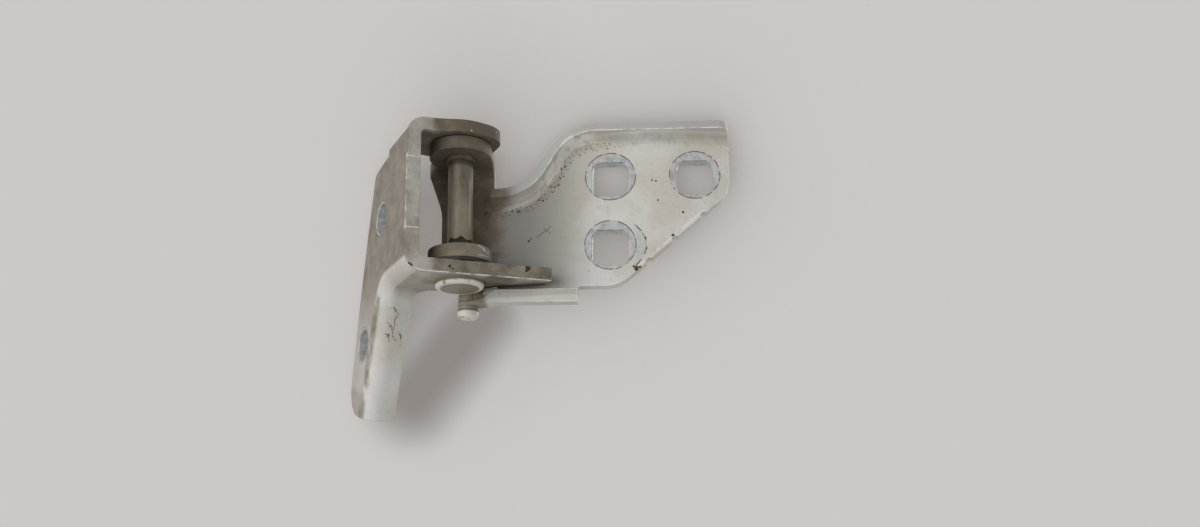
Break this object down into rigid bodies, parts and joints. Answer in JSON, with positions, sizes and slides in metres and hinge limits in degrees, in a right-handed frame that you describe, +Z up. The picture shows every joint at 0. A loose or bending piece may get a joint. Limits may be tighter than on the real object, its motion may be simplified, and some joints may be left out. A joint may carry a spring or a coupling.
{
  "type": "van door hinge",
  "caption": "Folded steel clevis bracket and a plate leaf with a raised lip, turning on a headed pin, for hanging a van door on its pillar.",
  "frame": {"origin": "on the pin's axis, halfway between the inner faces of the bracket's ears", "axes": "+Z up along the pin's axis; +X square to the bracket's bolt flange, towards the leaf; +Y back along the bolt flange"},
  "size_m": [0.1277, 0.1113, 0.1198],
  "materials": {
    "bracket_paint": "worn off-white paint with grime",
    "leaf_paint": "worn off-white paint with grime",
    "pin_steel": "greasy steel, painted head",
    "bush_metal": "dull, greasy",
    "washer_dark": "dark, greasy",
    "stud_steel": "painted over"
  },
  "bodies": {
    "bracket": {"hinge_bracket": "bracket_paint", "hinge_pin": "pin_steel"},
    "leaf": {"hinge_leaf": "leaf_paint", "upper_bush": "bush_metal", "lower_bush": "bush_metal", "thrust_washer": "washer_dark", "leaf_stud": "stud_steel"}
  },
  "joints": [
    {"name": "leaf_swing", "type": "hinge", "parent": "bracket", "child": "leaf", "pos_m": [0, 0, 0], "axis": [0, 0, 1], "range_deg": [-4, 47]}
  ]
}
